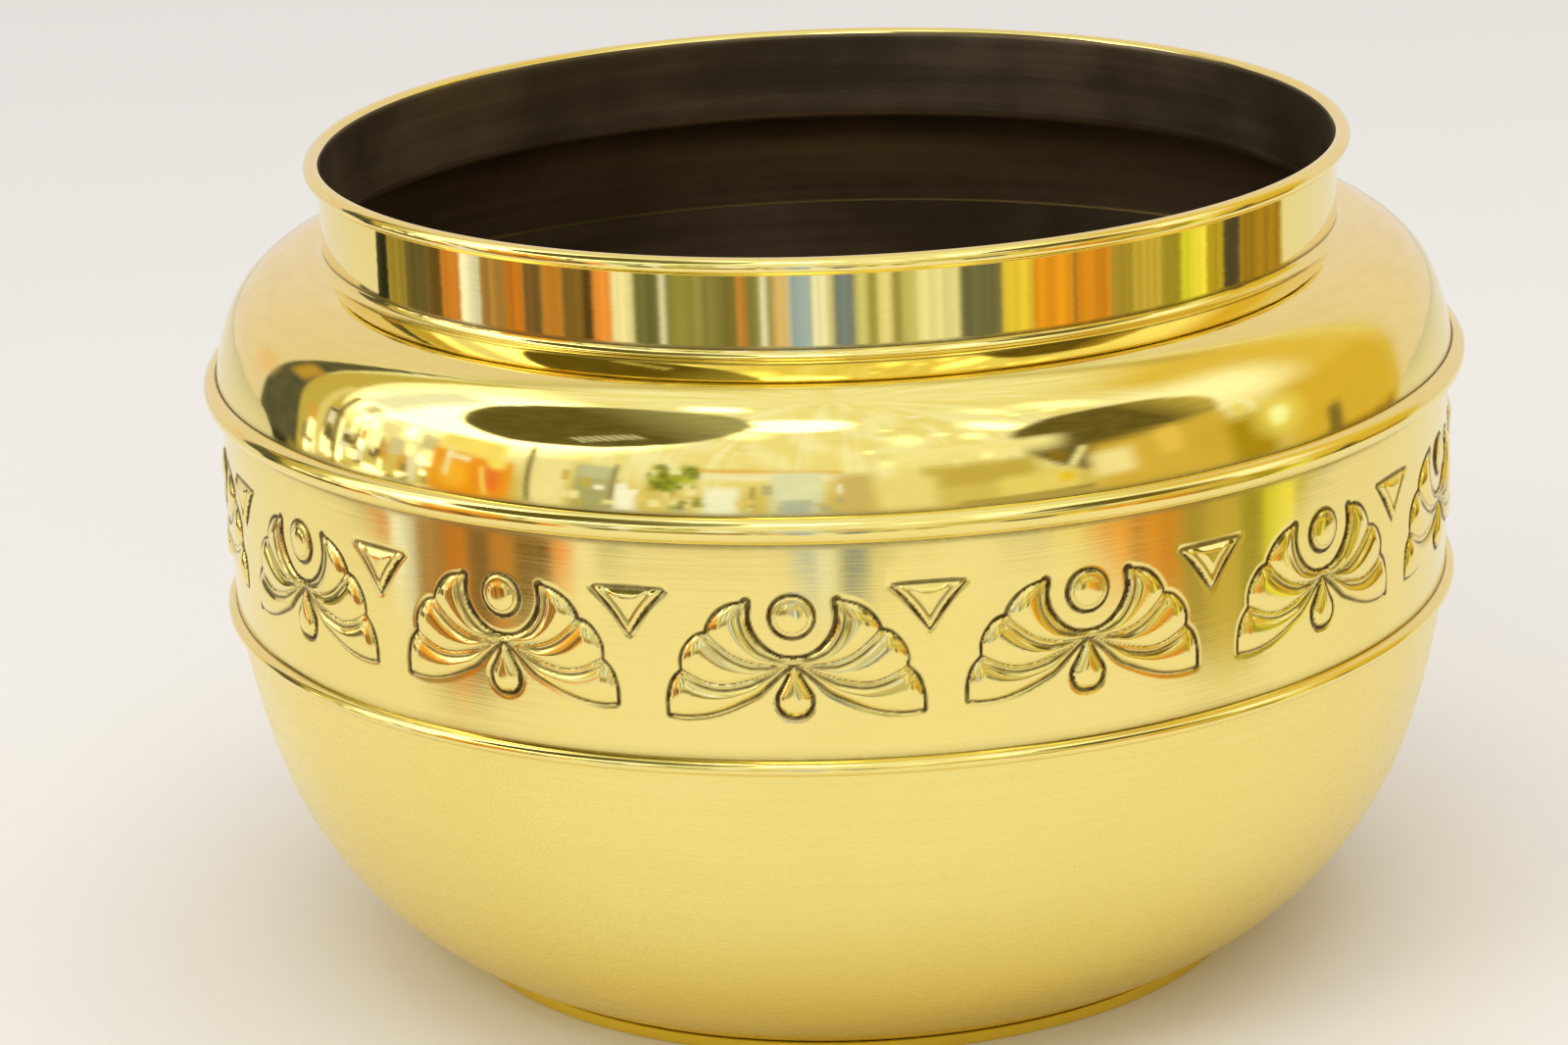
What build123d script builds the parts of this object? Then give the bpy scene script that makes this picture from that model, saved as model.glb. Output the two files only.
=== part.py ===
from build123d import *
import math
import os

# Brass planter pot, built up from spun and rolled sheet with soldered rings.
# Millimetres, +Z up. The origin is the centre of the circle that the pot stands on,
# and Z is the pot's axis. The front is -Y, and one palmette of the frieze is near it.

# ---- driving dimensions -------------------------------------------------------------

# foot
foot_height = 3.2          # height of the soldered foot ring
foot_width = 6.0           # width of the ring's section
foot_projection = 0.8      # how far the ring stands out past the bowl's flat bottom
foot_round = 1.0           # rounding of the ring's lower outer edge

# bowl, a spun shell: two round stretches tangent to each other, and a flat bottom
bowl_height = 85.4         # from the foot ring to the joint with the frieze band
bowl_top_radius = 146.4    # outside radius at that joint
bowl_sheet = 1.0
bowl_top_lean = 6.8        # degrees from upright at the joint
bowl_side_radius = 199.0   # section radius of the upper stretch
bowl_turn_lean = 17.3      # degrees from upright where the tighter stretch begins
bowl_foot_lean = 64.0      # degrees from upright where that stretch meets the flat bottom

# frieze band, a rolled strip
band_visible_height = 51.1
band_flare = 0.5           # how much wider the strip is under the skirt than at the joint
band_sheet = 0.9
band_lap = 4.0             # how far the strip runs up inside the shoulder's skirt

# shoulder, a spun shell whose skirt laps over the band
skirt_height = 5.4
shoulder_sheet = 0.9
shoulder_foot_lean = 8.2   # degrees from upright where the dome leaves the skirt
shoulder_side_radius = 58.0
shoulder_turn_lean = 21.0  # degrees from upright where the tighter stretch begins
shoulder_turn_radius = 23.0
crown_lean = 62.0          # degrees from upright where the flatter crown begins
crown_radius = 30.0
neck_lean = 84.65          # degrees from upright where the crown turns up into the neck
neck_turn_radius = 2.0     # outside radius of that hollow turn, which ends upright

# collar, a rolled strip with its upper edge wired
collar_sheet = 0.8
collar_height = 20.8       # from the shoulder's upper edge to the top of the rolled rim
rim_wire_radius = 1.2
rim_curl = 285.0           # degrees that the edge is curled round the wire

# soldered rings
upper_bead_radius = 3.05   # half-round wire
lower_bead_height = 3.6
lower_bead_width = 2.2

# embossed frieze
motif_count = 14
motif_turn = -4.4          # degrees from the front to the middle of the nearest palmette
relief = 1.4               # height of the embossing
medallion_drop = 15.8      # from the shoulder's skirt down to the medallion's centre
medallion_radius = 4.5
palmette_half_width = 27.2
triangle_half_width = 8.0
drawn_half_width = 100     # the motifs' outlines are drawn at this half width, then scaled

# ---- levels and radii that follow ---------------------------------------------------

band_top_radius = bowl_top_radius + band_flare
joint_z = foot_height + bowl_height
skirt_bottom_z = joint_z + band_visible_height
skirt_top_z = skirt_bottom_z + skirt_height
skirt_radius = band_top_radius + shoulder_sheet
medallion_z = skirt_bottom_z - medallion_drop
roll_radius = rim_wire_radius + collar_sheet


# ---- section helpers ----------------------------------------------------------------
# A half section is drawn as (radius, height) points and turned round Z.


def at_angle(centre, radius, elevation):
    """Point of a section circle at an elevation in degrees above the outward level."""
    angle = math.radians(elevation)
    return (centre[0] + radius * math.cos(angle), centre[1] + radius * math.sin(angle))


def elevation_at(centre, radius, level):
    """Elevation in degrees at which a section circle passes a level on its outer side."""
    return math.degrees(math.asin((level - centre[1]) / radius))


def in_section(point):
    return Vector(point[0], 0, point[1])


def line(start, end):
    return Edge.make_line(in_section(start), in_section(end))


def arc(start, middle, end):
    return Edge.make_three_point_arc(in_section(start), in_section(middle), in_section(end))


def circle_arc(centre, radius, start, end):
    """Arc of a section circle from one elevation to another."""
    angles = (start, (start + end) / 2, end)
    return arc(*[at_angle(centre, radius, angle) for angle in angles])


def turned(edges):
    """Solid turned round Z from the edges of a closed half section."""
    return revolve(Face(Wire(edges)), Axis.Z, 360)


# ---- bowl and foot ------------------------------------------------------------------

bowl_side_centre = at_angle((bowl_top_radius, joint_z), bowl_side_radius, 180 - bowl_top_lean)
bowl_turn_z = at_angle(bowl_side_centre, bowl_side_radius, -bowl_turn_lean)[1]
bowl_turn_fall = math.sin(math.radians(bowl_foot_lean)) - math.sin(math.radians(bowl_turn_lean))
bowl_turn_radius = (bowl_turn_z - foot_height) / bowl_turn_fall
bowl_turn_centre = at_angle(bowl_side_centre, bowl_side_radius - bowl_turn_radius, -bowl_turn_lean)
bowl_flat_radius = at_angle(bowl_turn_centre, bowl_turn_radius, -bowl_foot_lean)[0]


def make_bowl():
    """Spun bowl with a flat bottom that rests on the foot ring."""
    inner_side = bowl_side_radius - bowl_sheet
    inner_turn = bowl_turn_radius - bowl_sheet
    floor_z = foot_height + bowl_sheet
    floor_elevation = elevation_at(bowl_turn_centre, inner_turn, floor_z)
    rim_elevation = elevation_at(bowl_side_centre, inner_side, joint_z)
    outer_rim = (bowl_top_radius, joint_z)
    inner_rim = at_angle(bowl_side_centre, inner_side, rim_elevation)
    return turned([
        circle_arc(bowl_side_centre, bowl_side_radius, -bowl_top_lean, -bowl_turn_lean),
        circle_arc(bowl_turn_centre, bowl_turn_radius, -bowl_turn_lean, -bowl_foot_lean),
        line((bowl_flat_radius, foot_height), (0, foot_height)),
        line((0, foot_height), (0, floor_z)),
        line((0, floor_z), at_angle(bowl_turn_centre, inner_turn, floor_elevation)),
        circle_arc(bowl_turn_centre, inner_turn, floor_elevation, -bowl_turn_lean),
        circle_arc(bowl_side_centre, inner_side, -bowl_turn_lean, rim_elevation),
        line(inner_rim, outer_rim),
    ])


def make_foot_ring():
    """Flat ring that the pot stands on, with its lower outer edge rounded."""
    outer = bowl_flat_radius + foot_projection
    inner = outer - foot_width
    round_start = outer - foot_round
    return turned([
        line((inner, 0), (round_start, 0)),
        circle_arc((round_start, foot_round), foot_round, -90, 0),
        line((outer, foot_round), (outer, foot_height)),
        line((outer, foot_height), (inner, foot_height)),
        line((inner, foot_height), (inner, 0)),
    ])


# ---- frieze band --------------------------------------------------------------------


def band_radius(level):
    """Outside radius of the band: a slight cone up to the skirt, then a cylinder."""
    share = min((level - joint_z) / band_visible_height, 1)
    return bowl_top_radius + share * (band_top_radius - bowl_top_radius)


def band_skin(inward, outward, top):
    """Ring along the band, between an offset inside its outer face and one outside."""
    levels = [joint_z, skirt_bottom_z]
    if top > skirt_bottom_z:
        levels.append(top)
    outside = [(band_radius(level) + outward, level) for level in levels]
    inside = [(band_radius(level) - inward, level) for level in reversed(levels)]
    corners = outside + inside
    return turned([line(corners[i - 1], corners[i]) for i in range(len(corners))])


def curved(points):
    """Arc through three points of a motif's own plane."""
    return Edge.make_three_point_arc(*[Vector(x, y) for x, y in points])


def mirrored_outline(right_side, half_width):
    """Face from the arcs and lines of an outline's right half, mirrored to its left."""
    scale = half_width / drawn_half_width
    edges = []
    for drawn in right_side:
        right = [(x * scale, y * scale) for x, y in drawn]
        left = [(-x, y) for x, y in right]
        for half in (right, left):
            if len(half) == 3:
                edges.append(curved(half))
            else:
                edges.append(Edge.make_line(Vector(*half[0]), Vector(*half[1])))
    return Face(Wire(edges))


def palmette_face():
    """Two wings of three petals each, round a U that leaves room for the medallion."""
    tip = (35.7, 12.1)
    upper_notch = (67.6, -14.0)
    lower_notch = (88.2, -44.9)
    corner = (100, -81.3)
    fork = (5.9, -41.9)
    return mirrored_outline([
        ((0, -35.3), (27.2, -23.5), tip),
        (tip, (55.9, 4.4), upper_notch),
        (upper_notch, (83.5, -23.5), lower_notch),
        (lower_notch, (98.2, -60.7), corner),
        (corner, (49.3, -73.9), fork),
        (fork, (0, -39.7)),
    ], palmette_half_width)


def teardrop_face():
    """Drop that hangs below the fork of the wings, drawn to the palmette's scale."""
    widest = (11.8, -67.6)
    return mirrored_outline([
        ((0, -43.4), (5.5, -53.7), widest),
        (widest, (8.5, -77.6), (0, -81.6)),
    ], palmette_half_width)


def triangle_face():
    """Inverted triangle with hollow sides, which fills the space between palmettes."""
    corner = (100, 57.5)
    return mirrored_outline([
        ((0, 63.8), (50, 62.5), corner),
        (corner, (41.3, 2.5), (0, -65)),
    ], triangle_half_width)


def raised(face, angle, skin):
    """The stretch of the relief skin that a motif's outline covers at an angle."""
    turn = math.radians(angle)
    outward = Vector(math.sin(turn), -math.cos(turn), 0)
    along = Vector(math.cos(turn), math.sin(turn), 0)
    centre = Vector(0, 0, medallion_z) + outward * (bowl_top_radius / 2)
    plane = Plane(origin=centre, x_dir=along, z_dir=outward)
    block = extrude(plane.location * face, amount=bowl_top_radius, dir=outward)
    return skin & block


def make_frieze_band():
    """Rolled strip with the frieze standing out from it. The embossing is filled behind."""
    band = band_skin(band_sheet, 0, skirt_bottom_z + band_lap)
    relief_skin = band_skin(band_sheet / 2, relief, skirt_bottom_z)
    medallion = Face(Wire(Edge.make_circle(medallion_radius)))
    pitch = 360 / motif_count
    palmette = [palmette_face(), teardrop_face(), medallion]
    motif = [raised(face, motif_turn, relief_skin) for face in palmette]
    motif.append(raised(triangle_face(), motif_turn + pitch / 2, relief_skin))
    turns = [index * pitch for index in range(motif_count)]
    return band + [piece.rotate(Axis.Z, turn) for turn in turns for piece in motif]


# ---- shoulder -----------------------------------------------------------------------

dome_start = (skirt_radius, skirt_top_z)
dome_side_centre = at_angle(dome_start, shoulder_side_radius, 180 + shoulder_foot_lean)
dome_turn_centre = at_angle(
    dome_side_centre, shoulder_side_radius - shoulder_turn_radius, shoulder_turn_lean
)
crown_centre = at_angle(dome_turn_centre, shoulder_turn_radius - crown_radius, crown_lean)
neck_centre = at_angle(crown_centre, crown_radius + neck_turn_radius, neck_lean)
neck_z = neck_centre[1]
collar_outer_radius = neck_centre[0] - neck_turn_radius
collar_inner_radius = collar_outer_radius - collar_sheet


def make_shoulder():
    """Domed shell from the skirt over the crown, turned up at the neck to meet the collar."""
    inner_side = shoulder_side_radius - shoulder_sheet
    inner_turn = shoulder_turn_radius - shoulder_sheet
    inner_crown = crown_radius - shoulder_sheet
    inner_neck = neck_turn_radius + shoulder_sheet
    inner_start = math.degrees(math.acos((band_top_radius - dome_side_centre[0]) / inner_side))
    turned_up = 180 + neck_lean
    edge_outside = at_angle(neck_centre, neck_turn_radius, 180)
    edge_inside = at_angle(neck_centre, inner_neck, 180)
    return turned([
        line((band_top_radius, skirt_bottom_z), (skirt_radius, skirt_bottom_z)),
        line((skirt_radius, skirt_bottom_z), dome_start),
        circle_arc(dome_side_centre, shoulder_side_radius, shoulder_foot_lean, shoulder_turn_lean),
        circle_arc(dome_turn_centre, shoulder_turn_radius, shoulder_turn_lean, crown_lean),
        circle_arc(crown_centre, crown_radius, crown_lean, neck_lean),
        circle_arc(neck_centre, neck_turn_radius, turned_up, 180),
        line(edge_outside, edge_inside),
        circle_arc(neck_centre, inner_neck, 180, turned_up),
        circle_arc(crown_centre, inner_crown, neck_lean, crown_lean),
        circle_arc(dome_turn_centre, inner_turn, crown_lean, shoulder_turn_lean),
        circle_arc(dome_side_centre, inner_side, shoulder_turn_lean, inner_start),
        line(at_angle(dome_side_centre, inner_side, inner_start), (band_top_radius, skirt_bottom_z)),
    ])


# ---- collar and rim -----------------------------------------------------------------

rim_top_z = neck_z + collar_height
roll_centre = (collar_inner_radius + roll_radius, rim_top_z - roll_radius)


def make_collar():
    """Upright strip whose upper edge is curled outwards round the rim wire."""
    curl_end = 180 - rim_curl
    inner_foot = (collar_inner_radius, neck_z)
    outer_foot = (collar_outer_radius, neck_z)
    inner_lip = at_angle(roll_centre, rim_wire_radius, curl_end)
    outer_lip = at_angle(roll_centre, roll_radius, curl_end)
    return turned([
        line(inner_foot, outer_foot),
        line(outer_foot, (collar_outer_radius, roll_centre[1])),
        circle_arc(roll_centre, rim_wire_radius, 180, curl_end),
        line(inner_lip, outer_lip),
        circle_arc(roll_centre, roll_radius, curl_end, 180),
        line((collar_inner_radius, roll_centre[1]), inner_foot),
    ])


def make_rim_wire():
    """Steel wire closed into a ring, which stiffens the rolled rim."""
    return Solid.make_torus(roll_centre[0], rim_wire_radius, Plane((0, 0, roll_centre[1])))


# ---- soldered rings -----------------------------------------------------------------


def make_upper_bead():
    """Half-round wire round the shoulder's skirt."""
    centre = (skirt_radius, skirt_bottom_z + upper_bead_radius)
    top = at_angle(centre, upper_bead_radius, 90)
    bottom = at_angle(centre, upper_bead_radius, -90)
    return turned([
        line(bottom, top),
        circle_arc(centre, upper_bead_radius, 90, -90),
    ])


def make_lower_bead():
    """Half-round ring over the joint of the bowl and the band, shaped to both."""
    top_z = joint_z + lower_bead_height / 2
    bottom_elevation = elevation_at(
        bowl_side_centre, bowl_side_radius, joint_z - lower_bead_height / 2
    )
    top = (band_radius(top_z), top_z)
    bottom = at_angle(bowl_side_centre, bowl_side_radius, bottom_elevation)
    outermost = (bowl_top_radius + lower_bead_width, joint_z)
    return turned([
        circle_arc(bowl_side_centre, bowl_side_radius, bottom_elevation, -bowl_top_lean),
        line((bowl_top_radius, joint_z), top),
        arc(top, outermost, bottom),
    ])


# ---- files --------------------------------------------------------------------------

subparts = {
    "foot_ring": make_foot_ring,
    "bowl": make_bowl,
    "lower_bead": make_lower_bead,
    "frieze_band": make_frieze_band,
    "upper_bead": make_upper_bead,
    "shoulder": make_shoulder,
    "collar": make_collar,
    "rim_wire": make_rim_wire,
}

os.makedirs("parts", exist_ok=True)
for name, make in subparts.items():
    export_step(make(), f"parts/{name}.step")
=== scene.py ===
import math

import bpy
import numpy as np
from mathutils import Matrix, Vector


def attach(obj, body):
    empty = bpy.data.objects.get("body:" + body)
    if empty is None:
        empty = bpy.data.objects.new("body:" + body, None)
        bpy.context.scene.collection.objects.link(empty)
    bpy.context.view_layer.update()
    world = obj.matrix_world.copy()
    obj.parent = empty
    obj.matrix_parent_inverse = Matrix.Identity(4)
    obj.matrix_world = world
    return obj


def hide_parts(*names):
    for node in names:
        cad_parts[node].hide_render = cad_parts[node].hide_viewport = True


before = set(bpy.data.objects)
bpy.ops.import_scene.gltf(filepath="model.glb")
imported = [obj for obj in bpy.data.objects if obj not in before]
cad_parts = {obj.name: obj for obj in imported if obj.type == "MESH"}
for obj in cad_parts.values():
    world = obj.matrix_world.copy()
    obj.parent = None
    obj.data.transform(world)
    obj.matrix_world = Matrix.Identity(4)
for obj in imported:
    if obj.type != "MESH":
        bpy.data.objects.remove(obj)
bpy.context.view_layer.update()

# Brass planter pot: turned shells and rings, an embossed frieze, a pale studio floor.
# Sections and outlines are in millimetres, and meshes in metres. The front is -Y.

MM = 0.001

# ---- sizes, the same as the solids' ----

FOOT_HEIGHT, FOOT_WIDTH, FOOT_PROJECTION, FOOT_ROUND = 3.2, 6.0, 0.8, 1.0
BOWL_HEIGHT, BOWL_TOP_RADIUS, BOWL_SHEET = 85.4, 146.4, 1.0
BOWL_TOP_LEAN, BOWL_SIDE_RADIUS, BOWL_TURN_LEAN, BOWL_FOOT_LEAN = 6.8, 199.0, 17.3, 64.0
BAND_HEIGHT, BAND_FLARE, BAND_SHEET, BAND_LAP = 51.1, 0.5, 0.9, 4.0
SKIRT_HEIGHT, SHOULDER_SHEET = 5.4, 0.9
SHOULDER_FOOT_LEAN, SHOULDER_SIDE_RADIUS = 8.2, 58.0
SHOULDER_TURN_LEAN, SHOULDER_TURN_RADIUS = 21.0, 23.0
CROWN_LEAN, CROWN_RADIUS, NECK_LEAN, NECK_TURN_RADIUS = 62.0, 30.0, 84.65, 2.0
COLLAR_SHEET, COLLAR_HEIGHT, WIRE_RADIUS, RIM_CURL = 0.8, 20.8, 1.2, 285.0
UPPER_BEAD_RADIUS, LOWER_BEAD_HEIGHT, LOWER_BEAD_WIDTH = 3.05, 3.6, 2.2
MOTIF_COUNT, MOTIF_TURN, MEDALLION_DROP = 14, -4.4, 15.8

SEGMENTS, FINE_SEGMENTS = 448, 512     # steps round a turned piece, and a mirror-bright one
SHARP_ANGLE = 38                       # faces that meet at more degrees keep a hard edge


def on_circle(centre, radius, elevation):
    """Point of a section circle at an elevation in degrees above the outward level."""
    angle = math.radians(elevation)
    return (centre[0] + radius * math.cos(angle), centre[1] + radius * math.sin(angle))


def elevation_at(centre, radius, level):
    return math.degrees(math.asin((level - centre[1]) / radius))


BAND_TOP_RADIUS = BOWL_TOP_RADIUS + BAND_FLARE
SKIRT_RADIUS = BAND_TOP_RADIUS + SHOULDER_SHEET
JOINT_Z = FOOT_HEIGHT + BOWL_HEIGHT
SKIRT_BOTTOM_Z = JOINT_Z + BAND_HEIGHT
SKIRT_TOP_Z = SKIRT_BOTTOM_Z + SKIRT_HEIGHT
MEDALLION_Z = SKIRT_BOTTOM_Z - MEDALLION_DROP
BOWL_SIDE_CENTRE = on_circle((BOWL_TOP_RADIUS, JOINT_Z), BOWL_SIDE_RADIUS, 180 - BOWL_TOP_LEAN)
BOWL_TURN_Z = on_circle(BOWL_SIDE_CENTRE, BOWL_SIDE_RADIUS, -BOWL_TURN_LEAN)[1]
BOWL_TURN_FALL = math.sin(math.radians(BOWL_FOOT_LEAN)) - math.sin(math.radians(BOWL_TURN_LEAN))
BOWL_TURN_RADIUS = (BOWL_TURN_Z - FOOT_HEIGHT) / BOWL_TURN_FALL
BOWL_TURN_CENTRE = on_circle(BOWL_SIDE_CENTRE, BOWL_SIDE_RADIUS - BOWL_TURN_RADIUS, -BOWL_TURN_LEAN)
DOME_SIDE_CENTRE = on_circle((SKIRT_RADIUS, SKIRT_TOP_Z), SHOULDER_SIDE_RADIUS, 180 + SHOULDER_FOOT_LEAN)
DOME_TURN_CENTRE = on_circle(
    DOME_SIDE_CENTRE, SHOULDER_SIDE_RADIUS - SHOULDER_TURN_RADIUS, SHOULDER_TURN_LEAN
)
CROWN_CENTRE = on_circle(DOME_TURN_CENTRE, SHOULDER_TURN_RADIUS - CROWN_RADIUS, CROWN_LEAN)
NECK_CENTRE = on_circle(CROWN_CENTRE, CROWN_RADIUS + NECK_TURN_RADIUS, NECK_LEAN)
NECK_Z = NECK_CENTRE[1]
COLLAR_OUTER = NECK_CENTRE[0] - NECK_TURN_RADIUS
COLLAR_INNER = COLLAR_OUTER - COLLAR_SHEET
RIM_TOP_Z = NECK_Z + COLLAR_HEIGHT
ROLL_RADIUS = WIRE_RADIUS + COLLAR_SHEET
ROLL_CENTRE = (COLLAR_INNER + ROLL_RADIUS, RIM_TOP_Z - ROLL_RADIUS)

# ---- turned pieces ----

OUTSIDE, INSIDE = 0, 1     # place of a finish in a piece's list of materials


class Section:
    """A half section drawn stretch by stretch: each has a finish, and a darkening at its end, how
    strongly the colour is darkened there.
    """

    def __init__(self, start):
        self.points, self.finish, self.darkening = [start], [], [0.0]

    def _add(self, points, finish, darkening):
        self.points += points
        self.finish += [finish] * len(points)
        self.darkening += [0.0] * (len(points) - 1) + [darkening]

    def to(self, point, finish=OUTSIDE, step=4.0, darkening=0.0):
        start = self.points[-1]
        count = max(1, round(math.dist(start, point) / step))
        shares = [(i + 1) / count for i in range(count)]
        points = [tuple(a + (b - a) * s for a, b in zip(start, point)) for s in shares]
        self._add(points, finish, darkening)

    def arc(self, centre, radius, start, end, finish=OUTSIDE, step=2.0, darkening=0.0):
        length = abs(math.radians(end - start)) * radius
        count = max(3, round(length / step), round(abs(end - start) / 9))
        angles = [start + (end - start) * (i + 1) / count for i in range(count)]
        self._add([on_circle(centre, radius, angle) for angle in angles], finish, darkening)


def linked(name, data):
    """Object that brings a mesh, a lamp or a camera into the scene."""
    made = bpy.data.objects.new(name, data)
    bpy.context.scene.collection.objects.link(made)
    return made


def new_object(name, points, faces, finish_of_face, materials, uv, darkening):
    """Mesh object in metres, with smooth faces, a UV map and the darkening of each point."""
    mesh = bpy.data.meshes.new(name)
    mesh.from_pydata((np.asarray(points) * MM).tolist(), [], faces)
    for material in materials:
        mesh.materials.append(material)
    mesh.polygons.foreach_set("material_index", np.asarray(finish_of_face, dtype=np.int32))
    layer = mesh.uv_layers.new(name="turned")
    layer.data.foreach_set("uv", np.asarray(uv, dtype=np.float32).ravel())
    held = mesh.attributes.new("darkening", "FLOAT", "POINT")
    held.data.foreach_set("value", np.asarray(darkening, dtype=np.float32))
    mesh.update()
    mesh.shade_smooth()
    mesh.set_sharp_from_angle(angle=math.radians(SHARP_ANGLE))
    return linked(name, mesh)


def turned(name, section, materials, segments=SEGMENTS):
    """Closed mesh turned round Z. A section that starts and ends on the axis gets poles."""
    outline = section.points
    on_axis = outline[0][0] == 0
    if not on_axis and math.dist(outline[0], outline[-1]) < 1e-6:
        outline = outline[:-1]
    rows = len(outline)
    spans = rows - 1 if on_axis else rows
    area, along = 0.0, [0.0]
    for here, there in zip(outline, outline[1:] + outline[:1]):
        area += here[0] * there[1] - there[0] * here[1]
        along.append(along[-1] + math.dist(here, there) * MM)
    points, darkening, first = [], [], []
    for (radius, height), dark_share in zip(outline, section.darkening):
        first.append(len(points))
        count = 1 if radius == 0 else segments
        for i in range(count):
            turn = 2 * math.pi * i / segments
            points.append((radius * math.sin(turn), -radius * math.cos(turn), height))
            darkening.append(dark_share)
    faces, finish, uv = [], [], []
    for row in range(spans):
        low, high = row, (row + 1) % rows
        for i in range(segments):
            corners = []
            for ring, column, edge in ((low, i, row), (low, i + 1, row),
                                       (high, i + 1, row + 1), (high, i, row + 1)):
                at = first[ring] + (0 if outline[ring][0] == 0 else column % segments)
                if at not in [c[0] for c in corners]:
                    corners.append((at, (column / segments, along[edge])))
            if area < 0:
                corners.reverse()
            faces.append([c[0] for c in corners])
            uv.extend(c[1] for c in corners)
            finish.append(section.finish[row])
    return new_object(name, points, faces, finish, materials, uv, darkening)


# ---- materials ----

BRASS = (0.95, 0.80, 0.28)
BRASS_DEEP = (0.91, 0.74, 0.22)
PAINTED_GLOW_COLOUR = (0.97, 0.74, 0.07)
# near-black brown laid along joints, creases and chased lines
DARKENING_COLOUR = (0.075, 0.046, 0.012)
WORN_INSIDE = (0.16, 0.12, 0.05)
GLOW_HEIGHT = 0.055        # metres above the floor up to which a painted reflection deepens the brass, the shaded floor mirroring its own glow
# Heights in metres of the polishing lines, the ripples, and the inside's rings and bands
LINE_DEPTH, RIPPLE_DEPTH, RING_DEPTH, BAND_DEPTH = 0.00002, 0.00012, 0.00003, 0.00018
# How often a pattern changes per metre of section and per metre across the pot
POLISHING, RIPPLES, RINGS, INSIDE_BANDS = (2600.0, 26.0), (220.0, 9.0), (900.0, 6.0), (110.0, 3.0)


class Nodes:
    """A node tree, with the wiring of one node per call."""

    def __init__(self, tree):
        self.tree = tree
        tree.nodes.clear()

    def add(self, kind, settings=None, **inputs):
        made = self.tree.nodes.new(kind)
        for key, value in (settings or {}).items():
            setattr(made, key, value)
        for key, value in inputs.items():
            self.put(made, key.replace("_", " "), value)
        return made

    def put(self, node, socket, value):
        target = node.inputs[socket]
        if isinstance(value, bpy.types.NodeSocket):
            self.tree.links.new(value, target)
        elif target.type == "RGBA":
            target.default_value = (*value, 1.0)
        else:
            target.default_value = value

    def feed(self, node, *values):
        """Give a node its first values in order, and return its result."""
        for index, value in enumerate(values):
            self.put(node, index, value)
        return node.outputs[0]

    def math(self, operation, *values, clamp=False):
        node = self.add("ShaderNodeMath", {"operation": operation, "use_clamp": clamp})
        return self.feed(node, *values)

    def ramp(self, value, low, high, to_low=0.0, to_high=1.0):
        """Smooth step of a value from one range to another."""
        node = self.add("ShaderNodeMapRange", {"interpolation_type": "SMOOTHSTEP"})
        return self.feed(node, value, low, high, to_low, to_high)

    def blend(self, factor, first, second):
        """Mix of two colours."""
        node = self.add("ShaderNodeMix", {"data_type": "RGBA"})
        for socket, value in ((0, factor), (6, first), (7, second)):
            self.put(node, socket, value)
        return node.outputs[2]

    def noise(self, vector, scale, detail, rough):
        made = self.add("ShaderNodeTexNoise", Vector=vector, Scale=scale, Detail=detail, Roughness=rough)
        return made.outputs[0]

    def place(self):
        return self.add("ShaderNodeTexCoord").outputs["Object"]

    def held(self, name, output):
        """Value or colour that the mesh holds at each point."""
        return self.add("ShaderNodeAttribute", {"attribute_name": name}).outputs[output]

    def mixed(self, first, first_weight, second, second_weight):
        """Weighted sum of two values."""
        return self.math("ADD", self.math("MULTIPLY", first, first_weight),
                         self.math("MULTIPLY", second, second_weight))

    def surface(self, colour, roughness, metallic=0.0, height=None):
        """Shader that ends a material, with bumps where a height in metres is given."""
        shader = self.add("ShaderNodeBsdfPrincipled", Base_Color=colour, Roughness=roughness,
                          Metallic=metallic)
        if height is not None:
            bump = self.add("ShaderNodeBump", Height=height, Strength=1.0, Distance=1.0)
            self.put(shader, "Normal", bump.outputs[0])
        self.add("ShaderNodeOutputMaterial", Surface=shader.outputs[0])
        return shader


def new_material(name):
    """Material, and the wiring of its node tree."""
    material = bpy.data.materials.new(name)
    material.use_nodes = True
    return material, Nodes(material.node_tree)


def turning_coordinates(nodes, across, around):
    """Coordinates stretched round the pot, and plain ones."""
    place = nodes.place()
    apart = nodes.add("ShaderNodeSeparateXYZ", Vector=place)
    strip = nodes.add("ShaderNodeUVMap", {"uv_map": "turned"})
    section = nodes.add("ShaderNodeSeparateXYZ", Vector=strip.outputs[0])
    joined = nodes.add(
        "ShaderNodeCombineXYZ",
        X=nodes.math("MULTIPLY", apart.outputs[0], around),
        Y=nodes.math("MULTIPLY", apart.outputs[1], around),
        Z=nodes.math("MULTIPLY", section.outputs[1], across),
    )
    return joined.outputs[0], place


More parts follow.
